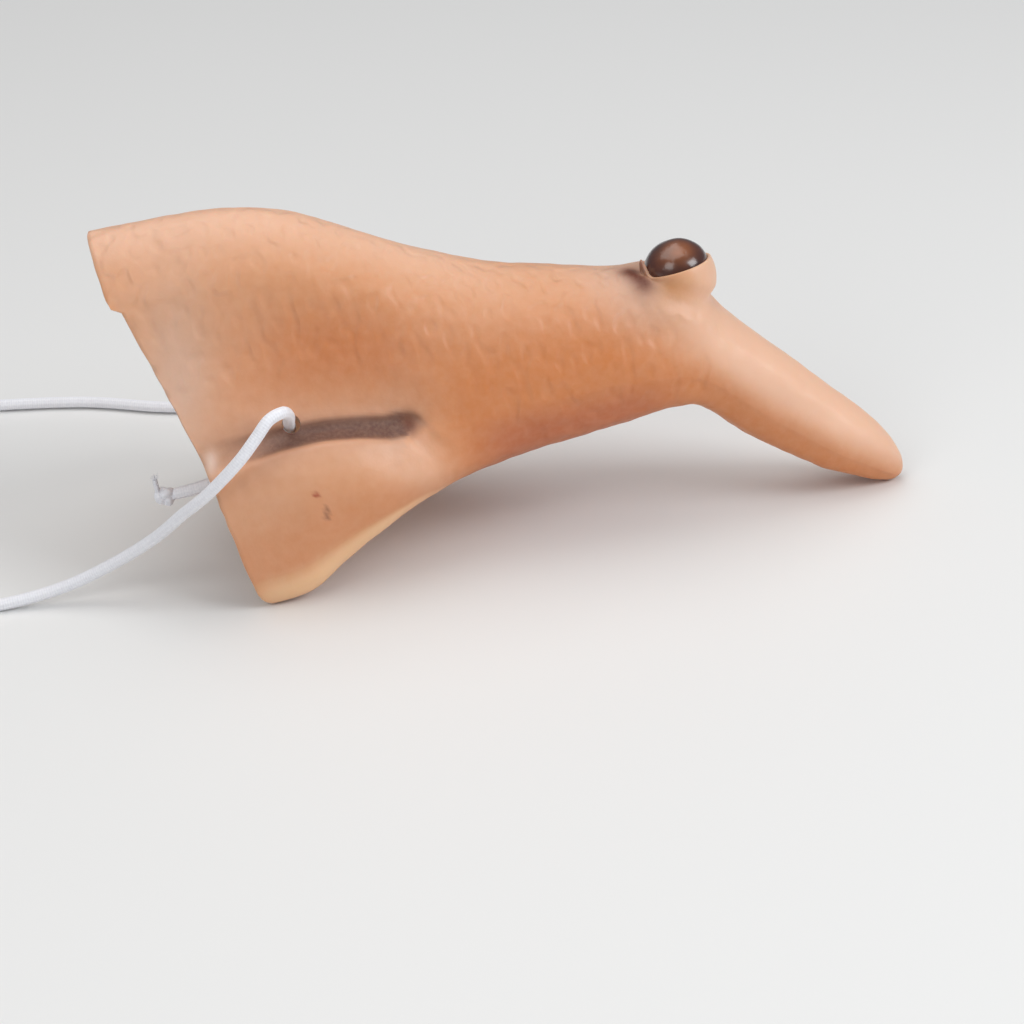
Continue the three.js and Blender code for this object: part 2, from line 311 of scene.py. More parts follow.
cord = {
    "radius": 0.001,
    "facets": 16,
    "spacing": 0.0003,
    "length": 0.407,
    "exit": (-0.0364, -0.0172, 0.029),
    "braidPitch": 0.0034,
    "strands": 8,
    "lineSteps": 12,
    "wander": 700.0,  # scale of the cover's slight unevenness
    "route": [
        (-0.0558, -0.0151, 0.017), (-0.053, -0.0153, 0.0176), (-0.0495, -0.0152, 0.0186),
        (-0.043, -0.0134, 0.0212), (-0.0384, -0.0121, 0.0235), (-0.0365, -0.0142, 0.0263),
        (-0.0364, -0.0172, 0.029), (-0.0363, -0.0202, 0.0318), (-0.0372, -0.0237, 0.0341),
        (-0.0393, -0.0257, 0.034), (-0.0416, -0.0269, 0.0316), (-0.0445, -0.0278, 0.0284),
        (-0.0505, -0.0272, 0.0223), (-0.0544, -0.0252, 0.0185), (-0.0598, -0.0216, 0.0126),
        (-0.0678, -0.019, 0.0069), (-0.076, -0.018, 0.0031), (-0.086, -0.0184, 0.0012),
        (-0.104, -0.02, 0.0012), (-0.128, -0.017, 0.0012), (-0.147, -0.003, 0.0012),
        (-0.154, 0.018, 0.0012), (-0.147, 0.04, 0.0012), (-0.128, 0.0535, 0.0012),
        (-0.106, 0.057, 0.0012), (-0.0755, 0.0552, 0.0012), (-0.059, 0.0498, 0.0012),
        (-0.044, 0.048, 0.0012), (-0.03, 0.0495, 0.0022), (-0.0205, 0.047, 0.0085),
        (-0.0185, 0.0405, 0.0175), (-0.0225, 0.0335, 0.0265), (-0.029, 0.0276, 0.0322),
        (-0.034, 0.0236, 0.0336), (-0.0363, 0.0202, 0.0318), (-0.0364, 0.0172, 0.029),
        (-0.0365, 0.0142, 0.0263), (-0.0384, 0.0121, 0.0235), (-0.0426, 0.013, 0.0213),
        (-0.0465, 0.0144, 0.0197),
    ],
}


elastic = {
    # painted shade in the braid's valleys, then the strands' white
    "braidValleyShade": (0.76, 0.77, 0.83, 1.0),
    "strand": (0.95, 0.955, 0.99, 1.0),
    "soil": (0.78, 0.76, 0.78, 1.0),
    "soiled": 0.35,
    "weaveShade": 0.4,  # share of the colour's variation that is painted shade from the weave; the rest is fuzz
    "relief": 0.00009,
}


def makeElastic():
    # white braided cover, with a soft diamond relief that follows the cord and painted shade in the
    # braid's valleys
    material, tree, shader, place = startMaterial(
        "whiteElastic", Roughness=0.78, Sheen_Weight=0.35, Sheen_Roughness=0.4, Specular_IOR_Level=0.3,
    )
    around = addNode(tree, "ShaderNodeSeparateXYZ", Vector=attribute(tree, "aroundCord", "Vector"))
    angle = arithmetic("ARCTAN2", around.outputs["Y"], around.outputs["X"])
    turns = times(angle, cord["strands"] / 2)
    along = attribute(tree, "alongCord")
    advance = times(along, math.tau * cord["strands"] / 2 / cord["braidPitch"])
    leftHand = arithmetic("SINE", arithmetic("ADD", turns, advance))
    rightHand = arithmetic("SINE", arithmetic("SUBTRACT", turns, advance))
    weave = timesPlus(times(leftHand, rightHand), 0.5, 0.5)
    fuzz = useGroup(mottle, place, Size=0.0004, Contrast=1.6, Detail=2.0)
    height = timesPlus(fuzz, 0.35, weave)
    fuzzShade = times(fuzz, 1 - elastic["weaveShade"])
    shade = timesPlus(weave, elastic["weaveShade"], fuzzShade)
    # painted shade: the braid's valleys darker than the strands
    shadedBraid = blend(shade, elastic["braidValleyShade"], elastic["strand"])
    soiled = useGroup(mottle, place, Size=0.012, Contrast=2.0, Detail=2.0)
    colour = blend(times(soiled, elastic["soiled"]), shadedBraid, elastic["soil"])
    rough = timesPlus(fuzz, 0.15, 0.7)
    finishShader(shader, colour, rough, height, 0.7, elastic["relief"])
    return material


whiteElastic = makeElastic()


def endTree(tree, geometry, material, result):
    real = addNode(tree, "GeometryNodeRealizeInstances", Geometry=geometry)
    feed(addNode(tree, "GeometryNodeSetMaterial", Geometry=real, Material=material), result)
    return tree


def remember(tree, geometry, kind, name, value):
    return addNode(tree, "GeometryNodeStoreNamedAttribute", {"data_type": kind, "domain": "POINT"},
                   Geometry=geometry, Name=name, Value=value)


def circleOf(tree, sides, radius):
    return addNode(tree, "GeometryNodeCurvePrimitiveCircle", {"mode": "RADIUS"}, Resolution=sides,
                   Radius=radius)


def sweep(tree, line, ring):
    return addNode(tree, "GeometryNodeCurveToMesh", Curve=line, Profile_Curve=ring, Fill_Caps=True)


def makeCordTree():
    # a round tube along a curve that remembers how far along and around each point is
    tree, given, result = newTree("braidedTube", "GeometryNodeTree", [
        ("Geometry", "Geometry", None), ("Radius", "Float", 0.001), ("Spacing", "Float", 0.0003),
        ("Facets", "Int", 16), ("Unevenness", "Float", 0.00004), ("Material", "Material", None),
    ], [("Geometry", "Geometry")])
    stepped = addNode(tree, "GeometryNodeResampleCurve", {"mode": "LENGTH"}, Curve=given["Geometry"],
                      Length=given["Spacing"])
    reach = addNode(tree, "GeometryNodeSplineParameter").outputs["Length"]
    place = addNode(tree, "GeometryNodeInputPosition")
    outwards = arithmetic("NORMALIZE", place, kind="ShaderNodeVectorMath")
    ring = circleOf(tree, given["Facets"], given["Radius"])
    tube = sweep(tree, remember(tree, stepped, "FLOAT", "alongCord", reach),
                 remember(tree, ring, "FLOAT_VECTOR", "aroundCord", outwards))
    wander = addNode(tree, "ShaderNodeTexNoise", Scale=cord["wander"], Detail=1.0)
    lift = times(arithmetic("SUBTRACT", wander, 0.5), given["Unevenness"])
    normal = addNode(tree, "GeometryNodeInputNormal")
    push = arithmetic("SCALE", normal, lift, kind="ShaderNodeVectorMath")
    uneven = addNode(tree, "GeometryNodeSetPosition", Geometry=tube, Offset=push)
    smooth = addNode(tree, "GeometryNodeSetShadeSmooth", Geometry=uneven)
    return endTree(tree, smooth, given["Material"], result)


def makeFibreTree():
    # loose fibres standing where a cord was cut, without the face that they grow from
    tree, given, result = newTree("frayedFibres", "GeometryNodeTree", [
        ("Geometry", "Geometry", None), ("Density", "Float", 4.5e7), ("Length", "Float", 0.0013),
        ("Thickness", "Float", 0.00004), ("Spread", "Float", 0.7), ("Seed", "Int", 3),
        ("Material", "Material", None),
    ], [("Geometry", "Geometry")])
    roots = addNode(tree, "GeometryNodeDistributePointsOnFaces", Mesh=given["Geometry"],
                    Density=given["Density"], Seed=given["Seed"])
    raised = addNode(tree, "ShaderNodeCombineXYZ", Z=given["Length"])
    bent = timesPlus(raised, (0.0, 0.0, 0.5), (0.0002, 0.0, 0.0), kind="ShaderNodeVectorMath")
    bow = addNode(tree, "GeometryNodeCurveQuadraticBezier", Resolution=6, Start=(0.0, 0.0, 0.0),
                  Middle=bent, End=raised)
    hair = sweep(tree, bow, circleOf(tree, 4, given["Thickness"]))
    high = given["Spread"]
    low = times(high, -1.0)
    leanLow = addNode(tree, "ShaderNodeCombineXYZ", X=low, Y=low, Z=-3.1)  # about half a turn either way
    leanHigh = addNode(tree, "ShaderNodeCombineXYZ", X=high, Y=high, Z=3.1)
    lean = addNode(tree, "FunctionNodeRandomValue", {"data_type": "FLOAT_VECTOR"}, Min=leanLow,
                   Max=leanHigh, Seed=given["Seed"])
    size = addNode(tree, "FunctionNodeRandomValue", {"data_type": "FLOAT"}, Min=0.45, Max=1.0,
                   Seed=given["Seed"]).outputs[1]
    stood = addNode(tree, "GeometryNodeInstanceOnPoints", Points=roots, Instance=hair, Rotation=lean,
                    Scale=size)
    return endTree(tree, stood, given["Material"], result)


cordTree = makeCordTree()
fibreTree = makeFibreTree()


def curveObject(name, points):
    data = bpy.data.curves.new(name, "CURVE")
    data.dimensions = "3D"
    spline = data.splines.new("POLY")
    spline.points.add(len(points) - 1)
    for target, p in zip(spline.points, points):
        target.co = (*p, 1.0)
    return addObject(name, data)


def tubeAlong(name, points, radius, spacing, facets):
    guide = curveObject(name + "Guide", points)
    mesh = growTree(guide, cordTree, {
        "Radius": radius, "Spacing": spacing, "Facets": facets, "Material": whiteElastic,
    })
    bpy.data.objects.remove(guide)
    return addObject(name, mesh)


def makeCord():
    line = smoothLine(np.array(cord["route"]), cord["lineSteps"])
    tube = tubeAlong("elasticCord", line, cord["radius"], cord["spacing"], cord["facets"])
    return tube, line


cordTube, cordLine = makeCord()
print("cord laid, %d faces" % len(cordTube.data.polygons))

# knots

knot = {
    "loop": 0.00034,  # a third of the knot's loop radius
    "stretch": 1.7,  # along the knot's own axis
    "tube": 0.00084,
    "gapTurns": 0.3,  # radians left open where the ends leave
    "past": 0.0019,  # from the cord's end to the lump's middle
    "lead": (-0.0004, 0.0002),  # where the loop joins the cord, from the cord's end
    "tail": 0.0034,
    "tailRoot": 0.0012,  # from the lump's middle
    "tailLean": 0.08,
    "tailTube": 0.00042,
    "tuft": 0.8,  # half the fibres' patch, against the tail's radius
    "loopPoints": 40,
    "spacing": 0.0002,
}


def knotLines(end, before):
    # an overhand knot just past the cord's end, and its thin tail standing up
    end, before = Vector(end), Vector(before)
    away = (end - before).normalized()
    side = away.cross(Vector((0.0, 0.0, 1.0))).normalized()
    up = side.cross(away)
    centre = end + away * knot["past"]
    loop = []
    for t in np.linspace(math.pi + knot["gapTurns"], 3 * math.pi - knot["gapTurns"], knot["loopPoints"]):
        x = math.sin(t) + 2 * math.sin(2 * t)
        y = math.cos(t) - 2 * math.cos(2 * t)
        z = -math.sin(3 * t) * knot["stretch"]
        loop.append(centre + (away * x + up * y + side * z) * knot["loop"])
    lead = [end + away * step for step in knot["lead"]]
    root = centre + away * knot["tailRoot"]
    tail = []
    for s in (0.0, 0.3, 0.65, 1.0):
        tail.append(root + (Vector((0.0, 0.0, s)) + away * knot["tailLean"] * s * s) * knot["tail"])
    return [smoothLine(np.array([tuple(p) for p in points]), 4) for points in (lead + loop, tail)]


def makeKnot(name, end, before, seed):
    loop, tail = knotLines(end, before)
    lump = tubeAlong(name, loop, knot["tube"], knot["spacing"], 12)
    stub = tubeAlong(name + "Tail", tail, knot["tailTube"], knot["spacing"], 8)
    tuft = addSquare(name + "Tuft", tail[-1], knot["tailTube"] * knot["tuft"])
    fibres = growTree(tuft, fibreTree, {"Seed": seed, "Material": whiteElastic})
    both = bmesh.new()
    for mesh in (lump.data, stub.data, fibres):
        both.from_mesh(mesh)
    both.to_mesh(lump.data)
    both.free()
    for spare in (stub, tuft):
        bpy.data.objects.remove(spare)
    return lump


route = cord["route"]
nearKnot = makeKnot("knotNear", route[0], route[1], 3)
farKnot = makeKnot("knotFar", route[-1], route[-2], 8)
print("knots tied")

# latex nose

nose = {
    "length": 0.132,
    "height": 0.0596,
    "halfWidth": 0.026,
    "wall": 0.002,
    "cavityRow": 9,
    "cavityTaper": (0.8, 0.45),
    "cavityReach": 0.5,
    "wingHeight": 0.2,
    "cheekHeight": 0.62,
    "bridgeHeight": 0.88,
    "lobeBelowFold": 0.055,
    "halfFoot": 0.5,
    "tip": (0.998, 0.016),
    "perSpan": 18,  # points round the nose between two key points
    "perRow": 40,  # fine rows between two sections
    "rings": 226,
    "innerRings": 66,
    "settleRows": 3.0,  # rows over which the rings turn from the rim's cut to the sections
    "rimRoundness": 0.00035,
    "rimWay": (-0.964, 0.0, -0.266),  # out of the cut rim
    "rimShares": (0.12, 0.3, 0.5, 0.7, 0.88),  # rings across the rim's cut
    "torn": (0.00007, 0.0008, 0.0029),  # depth and the two lengths of the rim's slight waves
    "waves": ((0.00018, 0.007, 5.0), (0.00009, 0.0022, 9.0)),  # height, size and seed of the uneven skin
    "lowest": 0.00003,  # keeps the skin over the table
    "foldKey": 5,  # key points are counted from the belly
    "ridgeKey": 8,
    "columns": (
        "ridgeX", "ridgeZ", "bellyX", "bellyZ", "foot", "fold",
        "footWide", "wingWide", "lobeWide", "foldWide", "cheekWide", "bridgeWide",
    ),
    "sections": (
        (0, 0.965, 0.158, 0.117, -0.133, 0.37, 0.962, 0.973, 0.908, 0.823, 0.585, 0.365),
        (0.076, 0.985, 0.223, 0.124, -0.095, 0.39, 0.958, 0.992, 0.908, 0.754, 0.546, 0.373),
        (0.152, 1, 0.284, 0.138, -0.02, 0.405, 0.885, 1, 0.885, 0.662, 0.504, 0.373),
        (0.227, 0.983, 0.337, 0.148, 0.04, 0.41, 0.823, 0.954, 0.831, 0.627, 0.492, 0.365),
        (0.303, 0.923, 0.386, 0.161, 0.085, 0.405, 0.715, 0.838, 0.731, 0.612, 0.508, 0.354),
        (0.386, 0.841, 0.443, 0.174, 0.11, 0.41, 0.527, 0.673, 0.654, 0.627, 0.546, 0.362),
        (0.477, 0.773, 0.508, 0.205, 0.1, 0.45, 0.362, 0.515, 0.585, 0.585, 0.546, 0.369),
        (0.576, 0.738, 0.58, 0.24, 0.1, 0.47, 0.312, 0.454, 0.519, 0.527, 0.496, 0.342),
        (0.659, 0.711, 0.659, 0.282, 0.1, 0.47, 0.277, 0.404, 0.462, 0.465, 0.442, 0.304),
        (0.712, 0.669, 0.703, 0.307, 0.1, 0.47, 0.25, 0.362, 0.415, 0.419, 0.392, 0.273),
        (0.765, 0.592, 0.727, 0.31, 0.1, 0.47, 0.215, 0.312, 0.358, 0.365, 0.346, 0.235),
        (0.815, 0.495, 0.746, 0.285, 0.1, 0.47, 0.185, 0.269, 0.308, 0.312, 0.296, 0.204),
        (0.861, 0.404, 0.786, 0.211, 0.1, 0.47, 0.169, 0.242, 0.277, 0.281, 0.269, 0.185),
        (0.905, 0.314, 0.837, 0.136, 0.1, 0.47, 0.154, 0.227, 0.258, 0.262, 0.25, 0.169),
        (0.946, 0.233, 0.883, 0.076, 0.1, 0.47, 0.142, 0.208, 0.238, 0.242, 0.231, 0.154),
        (0.977, 0.158, 0.929, 0.034, 0.1, 0.47, 0.115, 0.165, 0.188, 0.192, 0.185, 0.127),
        (0.994, 0.097, 0.961, 0.008, 0.1, 0.47, 0.077, 0.112, 0.127, 0.131, 0.123, 0.085),
        (1, 0.047, 0.983, 0.002, 0.1, 0.47, 0.042, 0.058, 0.067, 0.069, 0.065, 0.042),
    ),
    # the trimmed rim from the bridge tongue down to the wing corner, x and z as shares
    "rim": ((0.0, 0.965), (0.022, 0.82), (0.035, 0.813), (0.126, 0.378), (0.1615, 0.095),
            (0.167, 0.055), (0.174, 0.022), (0.187, 0.0)),
}

crease = {
    # along the nose from the rim's top, and above the fold; depth and stain as shares
    "path": (
        (0.0165, -0.0006, 0.25, 0.1), (0.0215, -0.0013, 0.45, 0.42), (0.027, -0.0022, 0.9, 0.9),
        (0.031, -0.0028, 1.0, 1.0), (0.039, -0.0029, 1.0, 1.0), (0.0455, -0.0024, 1.0, 1.0),
        (0.0476, -0.0016, 0.95, 1.0), (0.0491, -0.0014, 0.8, 0.6), (0.0506, -0.0028, 0.5, 0.12),
        (0.0535, -0.0062, 0.3, 0.0), (0.054, -0.0105, 0.1, 0.0),
    ),
    "deep": 0.0009,
    "wide": 0.0023,
    "stainWide": 0.0023,
    "lump": ((0.0166, -0.0014), (0.0011, 0.0019)),  # a pale blister at the crease's back end
    "lumpRise": 0.0005,
}


def sectionTable():
    return dict(zip(nose["columns"], np.array(nose["sections"], dtype=float).T))


def keyPoints():
    # for each section the belly point, the direction up to the ridge, and the key points of one half
    s = sectionTable()
    long, tall, wide = nose["length"], nose["height"], nose["halfWidth"]
    belly, ridge = (
        np.stack([s[line + "X"] * long, s["foot"] * 0, s[line + "Z"] * tall], axis=-1)
        for line in ("belly", "ridge")
    )
    depth = norm(ridge - belly, axis=-1, keepdims=True)
    level = np.ones_like(s["fold"])
    half = nose["halfFoot"]
    rows = (
        (0, 0), (s["footWide"] * half, s["foot"] * half), (s["footWide"], s["foot"]),
        (s["wingWide"], nose["wingHeight"]), (s["lobeWide"], s["fold"] - nose["lobeBelowFold"]),
        (s["foldWide"], s["fold"]), (s["cheekWide"], nose["cheekHeight"]),
        (s["bridgeWide"], nose["bridgeHeight"]), (0, 1),
    )
    keys = np.stack([np.stack([w * level, h * level], axis=-1) for w, h in rows], axis=1)
    keys[..., 0] *= wide
    keys[..., 1] *= depth
    return belly, (ridge - belly) / depth, keys


def inset(keys, distance):
    flip = np.array([-1.0, 1.0])
    before = np.concatenate([keys[:, 1:2] * flip, keys[:, :-1]], axis=1)
    after = np.concatenate([keys[:, 1:], keys[:, -2:-1] * flip], axis=1)
    run = after - before
    run /= norm(run, axis=-1, keepdims=True)
    return keys + distance * np.stack([-run[..., 1], run[..., 0]], axis=-1)


def ringsOf(belly, up, keys):
    closed = np.concatenate([keys, keys[:, -2:0:-1] * np.array([-1.0, 1.0])], axis=1)
    placed = belly[:, None] + up[:, None] * closed[..., 1:]
    placed[..., 1] += closed[..., 0]
    return np.swapaxes(smoothLine(np.swapaxes(placed, 0, 1), nose["perSpan"], True), 0, 1)


def rimAt(z):
    # x of the rim's cut at a height, carried on past both ends
    rim = np.array(nose["rim"])
    rim = np.concatenate([2 * rim[:1] - rim[1:2], rim, 2 * rim[-1:] - rim[-2:-1]])
    xs, zs = rim[:, 0] * nose["length"], rim[:, 1] * nose["height"]
    depth, short, long = nose["torn"]
    return np.interp(z, zs[::-1], xs[::-1]) + depth * np.sin(z / short + 2 * np.sin(z / long))


def cutAndSpace(knots, count):
    # fine rows through the knots, cut at the rim and spaced evenly along the nose
    fine = smoothLine(knots, nose["perRow"])
    step = fine[1] - fine[0]
    behind = fine[0] + step * np.arange(-nose["perRow"], 0)[:, None, None]
    fine = np.concatenate([behind, fine])
    rows = np.arange(len(fine)) / nose["perRow"] - 1.0
    miss = fine[..., 0] - rimAt(fine[..., 2])
    first = np.argmax(miss > 0, axis=0)
    cols = np.arange(fine.shape[1])
    low, high = miss[first - 1, cols], miss[first, cols]
    start = rows[first - 1] + (rows[1] - rows[0]) * (-low / (high - low))
    reach = norm(np.diff(fine[nose["perRow"]:], axis=0), axis=-1).mean(axis=1)
    total = np.concatenate([[0.0], np.cumsum(reach)])
    even = np.interp(np.linspace(0, total[-1], count), total, rows[nose["perRow"]:])
    settle = np.clip(1 - even / nose["settleRows"], 0, 1)
    wanted = even[:, None] + start[None, :] * settle[:, None]
    spot = np.clip((wanted + 1.0) * nose["perRow"], 0, len(fine) - 1.001)
    base = spot.astype(int)
    share = (spot - base)[..., None]
    return fine[base, cols] * (1 - share) + fine[base + 1, cols] * share


def outerGrid():
    belly, up, keys = keyPoints()
    rings = ringsOf(belly, up, keys)
    tip = np.array([nose["tip"][0] * nose["length"], 0.0, nose["tip"][1] * nose["height"]])
    rings = np.concatenate([rings, np.broadcast_to(tip, rings[:1].shape)])
    return cutAndSpace(rings, nose["rings"])


def innerGrid():
    belly, up, keys = (v[: nose["cavityRow"] + 1] for v in keyPoints())
    rings = ringsOf(belly, up, inset(keys, nose["wall"]))
    end = rings[-1]
    middle = end.mean(axis=0)
    forward = np.cross(up[-1], (0.0, -1.0, 0.0))
    reach = nose["halfWidth"] * sectionTable()["foldWide"][nose["cavityRow"]] * nose["cavityReach"]
    closing = []
    for s in nose["cavityTaper"]:
        closing.append(middle + (end - middle) * s + forward * reach * math.sqrt(1 - s * s))
    closing.append(np.broadcast_to(middle + forward * reach, end.shape))
    return cutAndSpace(np.concatenate([rings, np.stack(closing)]), nose["innerRings"])


def gridNormals(grid):
    ahead = np.gradient(grid, axis=0)
    across = np.roll(grid, -1, axis=1) - np.roll(grid, 1, axis=1)
    normal = np.cross(across, ahead)
    size = norm(normal, axis=-1, keepdims=True)
    normal = normal / np.maximum(size, 1e-12)
    outward = grid - grid.mean(axis=1, keepdims=True)
    return normal if (normal * outward).sum() > 0 else -normal


def aboveFold(grid):
    # distance round the surface from the fold, on either side, positive towards the ridge
    fold, ridge = nose["foldKey"] * nose["perSpan"], nose["ridgeKey"] * nose["perSpan"]
    steps = norm(np.roll(grid, -1, axis=1) - grid, axis=-1)
    arc = np.concatenate([np.zeros((len(grid), 1)), np.cumsum(steps, axis=1)[:, :-1]], axis=1)
    right = arc - arc[:, fold][:, None]
    left = arc[:, 2 * ridge - fold][:, None] - arc
    return np.where(np.arange(grid.shape[1])[None, :] <= ridge, right, left)


def nearPath(along, above):
    # distance to the crease's path, and its depth and stain there
    path = np.array(crease["path"])
    best, depth, stain = np.full(along.shape, 1.0), np.zeros(along.shape), np.zeros(along.shape)
    for (x, y, deep, dark), run in zip(path, np.diff(path, axis=0)):
        share = ((along - x) * run[0] + (above - y) * run[1]) / (run[:2] ** 2).sum()
        share = np.clip(share, 0, 1)
        far = np.hypot(along - x - share * run[0], above - y - share * run[1])
        closer = far < best
        best = np.where(closer, far, best)
        depth = np.where(closer, deep + share * run[2], depth)
        stain = np.where(closer, dark + share * run[3], stain)
    return best, depth, stain


wart = {
    "radius": 0.0063,
    "distance": 0.0952,  # from the rim's top
    "raise": 0.002,
    "tilt": (-11.0, -12.0),  # away from the camera's side, and back towards the rim
    "lipAngle": 74.0,
    "lipRoundness": 0.0003,
    "gap": 0.00003,
    "capRise": 0.0045,
    "capFullness": 1.04,
    "glow": (-0.0006, -0.0024, 0.0056),
    "capDepth": 0.0014,
    "glowSize": 0.0027,
    "floor": -0.0033,  # where the ball ends inside the wall
    "around": 72,
    "arc": 26,  # points from foot to lip, and from lip to crown
    "ballWaves": (0.00022, 0.004, 2.0),  # height, size and seed
    "capWaves": (0.0002, 0.0035, 7.0),
    "flap": (-0.0055, -0.002, 0.0019),  # a flake of skin left standing at the cap's back edge
    "flapSize": 0.0011,
    "flapRise": (0.0002, 0.0, 0.003),
    "footFade": 0.002,  # the tilt dies out over this depth
    "mound": 0.0021,  # height of the skin's swelling at the ball's sides
    "moundFrom": 0.0055,
    "moundFade": 0.0036,
    "moundRidge": 0.4,  # its share on the ridge line
    "moundAcross": 0.003,
}

fillet = {
    "wide": 0.0026,
    "reach": 1.7,  # against the ball's radius
    "pull": 1.6,
    "lip": (-0.0012, -0.0002),  # it fades out between these heights under the cap's level
    "rounds": 40,
    "step": 0.6,
}


def wartCentre():
    # in the lofted nose's own place, before it is moved into the frame
    s = sectionTable()
    ridge = np.interp(wart["distance"], s["ridgeX"] * nose["length"], s["ridgeZ"] * nose["height"])
    return np.array([wart["distance"], 0.0, ridge + wart["raise"]])


def smoothStep(low, high, value):
    s = np.clip((value - low) / (high - low), 0, 1)
    return s * s * (3 - 2 * s)


def within(a, b, c, d, value):
    # rises from a to b and falls from c to d
    return smoothStep(a, b, value) * (1 - smoothStep(c, d, value))


def bell(distance, size, power=2):
    return np.exp(-((distance / size) ** power))


def blob(along, above, spot, size):
    return np.exp(-(((along - spot[0]) / size[0]) ** 2) - ((above - spot[1]) / size[1]) ** 2)


def unevenness(grid, size, seed):
    flat = grid.reshape(-1, 3) / size + seed
    return np.array([noise.noise(Vector(p)) for p in flat]).reshape(grid.shape[:2])


def shapeSkin(grid):
    # the crease is pressed in, the wart stands on a mound, and poured latex is a little uneven
    normal = gridNormals(grid)
    above = aboveFold(grid)
    far, depth, stain = nearPath(grid[..., 0], above)
    push = -crease["deep"] * depth * bell(far, crease["wide"], 4)
    toWart = norm(grid - wartCentre(), axis=-1) - wart["moundFrom"]
    beside = 1 - (1 - wart["moundRidge"]) * bell(grid[..., 1], wart["moundAcross"])
    push += wart["mound"] * beside * bell(np.maximum(toWart, 0), wart["moundFade"])
    push += crease["lumpRise"] * blob(grid[..., 0], above, *crease["lump"])
    for height, size, seed in nose["waves"]:
        push += height * unevenness(grid, size, seed)
    shaped = grid + normal * push[..., None]
    shaped[..., 2] = np.maximum(shaped[..., 2], nose["lowest"])
    return shaped


def stripFaces(rings, size):
    k, i = np.meshgrid(np.arange(rings - 1), np.arange(size), indexing="ij")
    a, b = k * size + i, k * size + (i + 1) % size
    return np.stack([a, b, b + size, a + size], axis=-1).reshape(-1, 4).tolist()


def closedStrip(rings, size):
    # the rings' faces, and fans to the two end points that follow the rings
    faces = stripFaces(rings, size)
    last, pole = (rings - 1) * size, rings * size
    for i in range(size):
        after = (i + 1) % size
        faces += [(after, i, pole), (last + i, last + after, pole + 1)]
    return faces


def makeShell():
    outer = shapeSkin(outerGrid())
    inner = innerGrid()
    lip = []
    for s in nose["rimShares"]:
        swell = np.array(nose["rimWay"]) * nose["rimRoundness"] * math.sqrt(math.sin(math.pi * s))
        lip.append(outer[0] * (1 - s) + inner[0] * s + swell)
    # one run of rings, from the inner end out over the rim to the tip
    whole = np.concatenate([inner[:0:-1][1:], inner[:1], np.stack(lip[::-1]), outer[:-1]])
    points = np.concatenate([whole.reshape(-1, 3), inner[-1, :1], outer[-1, :1]])
    return outer, inner, points, closedStrip(len(whole), outer.shape[1])


def faceOutwards(owner):
    mesh = owner.data
    mesh.calc_loop_triangles()
    tris = np.empty(len(mesh.loop_triangles) * 3, dtype=int)
    mesh.loop_triangles.foreach_get("vertices", tris)
    a, b, c = pointsOf(mesh)[tris.reshape(-1, 3)].transpose(1, 0, 2)
    if (a * np.cross(b, c)).sum() < 0:
        mesh.flip_normals()


outer, inner, shellPoints, shellFaces = makeShell()
shift = np.array([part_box("nose_shell")[0][0] - outer[..., 0].min(), 0.0, 0.0])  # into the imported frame
shell = addMesh("latexNose", shellPoints + shift, shellFaces)
faceOutwards(shell)
print("nose lofted, %d faces" % len(shell.data.polygons))

# wart

lipRadius = wart["radius"] * math.sin(math.radians(wart["lipAngle"]))
capLevel = wart["radius"] * math.cos(math.radians(wart["lipAngle"]))
capRadius = lipRadius - wart["lipRoundness"] * 2 - wart["gap"]


def wartPlace():
    away, back = (math.radians(a) for a in wart["tilt"])
    turn = Matrix.Rotation(back, 4, "Y") @ Matrix.Rotation(away, 4, "X")
    return Matrix.Translation(Vector(wartCentre() + shift)) @ turn


def circlePoints(count, wide, high):
    angles = [math.tau * i / count for i in range(count)]
    return [Vector((wide * math.cos(a), wide * math.sin(a), high)) for a in angles]


def turned(name, profile, uneven):
    # a closed shape turned about the wart's axis, from [radius, height] with both ends on the axis
    count = wart["around"]
    place = wartPlace()
    points = [place @ uneven(p) for spot in profile[1:-1] for p in circlePoints(count, *spot)]
    points += [place @ Vector((0.0, 0.0, end[1])) for end in (profile[0], profile[-1])]
    made = addMesh(name, points, closedStrip(len(profile) - 2, count))
    faceOutwards(made)
    return made


def lumpy(amount, size, seed):
    def move(p):
        d = noise.noise(p / size + Vector((seed, seed, seed)))
        return p * (1 + amount * d / max(p.length, 1e-6))
    return move


def makeWartBall():
    r = wart["radius"]
    low = math.acos(wart["floor"] / r)
    high = math.radians(wart["lipAngle"])
    profile = [(0.0, wart["floor"])]
    profile += [(r * math.sin(low) * s, wart["floor"]) for s in (0.4, 0.8)]
    profile += [(r * math.sin(a), r * math.cos(a)) for a in np.linspace(low, high, wart["arc"])]
    lip = wart["lipRoundness"]
    for a in np.linspace(0.4, math.pi, 10):
        profile.append((lipRadius - lip + lip * math.cos(a), capLevel + lip * 0.6 * math.sin(a)))
    floor = capLevel - wart["capDepth"] - wart["gap"]
    seat = lipRadius - lip * 2
    profile += [(seat, capLevel - 0.0006), (seat, floor), (seat * 0.5, floor), (0.0, floor)]
    uneven = lumpy(*wart["ballWaves"])
    flap, rise = Vector(wart["flap"]), Vector(wart["flapRise"])
    upright = wartPlace().to_3x3().inverted()

    def move(p):
        near = math.exp(-(((p - flap).length / wart["flapSize"]) ** 2))
        p = p.lerp(upright @ p, min(1, max(0, -p.z / wart["footFade"])))  # the foot isn't tilted
        return uneven(p) + rise * near

    return turned("wartBall", profile, move)


